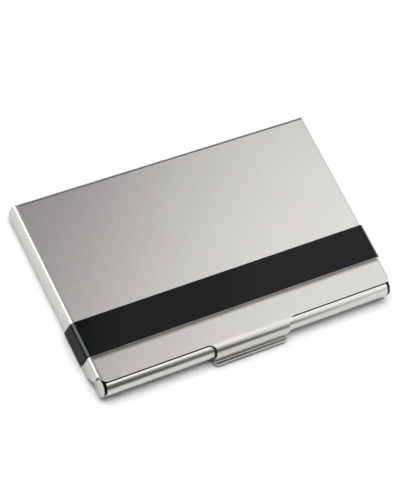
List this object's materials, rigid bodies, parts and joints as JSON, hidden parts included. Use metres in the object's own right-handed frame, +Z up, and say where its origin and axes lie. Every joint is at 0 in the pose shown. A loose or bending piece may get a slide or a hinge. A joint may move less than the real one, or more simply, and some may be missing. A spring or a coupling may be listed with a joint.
{
  "type": "business card case",
  "caption": "Slim pocket case for business cards: folded steel lid with a black cross band, hinged at the rear, snapping over the rolled front edge of a steel tray.",
  "frame": {"origin": "middle of the footprint, lip to rear flange, on the plane that the closed case rests on", "axes": "+X across the case to the right as seen from the thumb lip, +Y from the thumb lip to the hinge, +Z up out of the lid"},
  "size_m": [0.0948, 0.0596, 0.0069],
  "materials": {
    "satin_steel": "fine satin stainless steel",
    "bright_steel": "plain turned stainless steel",
    "spring_steel": "cold-rolled spring strip",
    "black_band": "smooth satin black",
    "adhesive_film": "thin dark acrylic film"
  },
  "bodies": {
    "tray": {"base_tray": "satin_steel", "hold_open_spring": "spring_steel", "spring_rivet_left": "bright_steel", "spring_rivet_centre": "bright_steel", "spring_rivet_right": "bright_steel"},
    "lid": {"lid_shell": "satin_steel", "accent_band": "black_band", "band_adhesive": "adhesive_film", "hinge_pin_left": "bright_steel", "hinge_pin_right": "bright_steel"}
  },
  "joints": [
    {"name": "lid_hinge", "type": "hinge", "parent": "tray", "child": "lid", "pos_m": [0, 0.02675, 0.00325], "axis": [-1, 0, 0], "range_deg": [0, 95]}
  ]
}
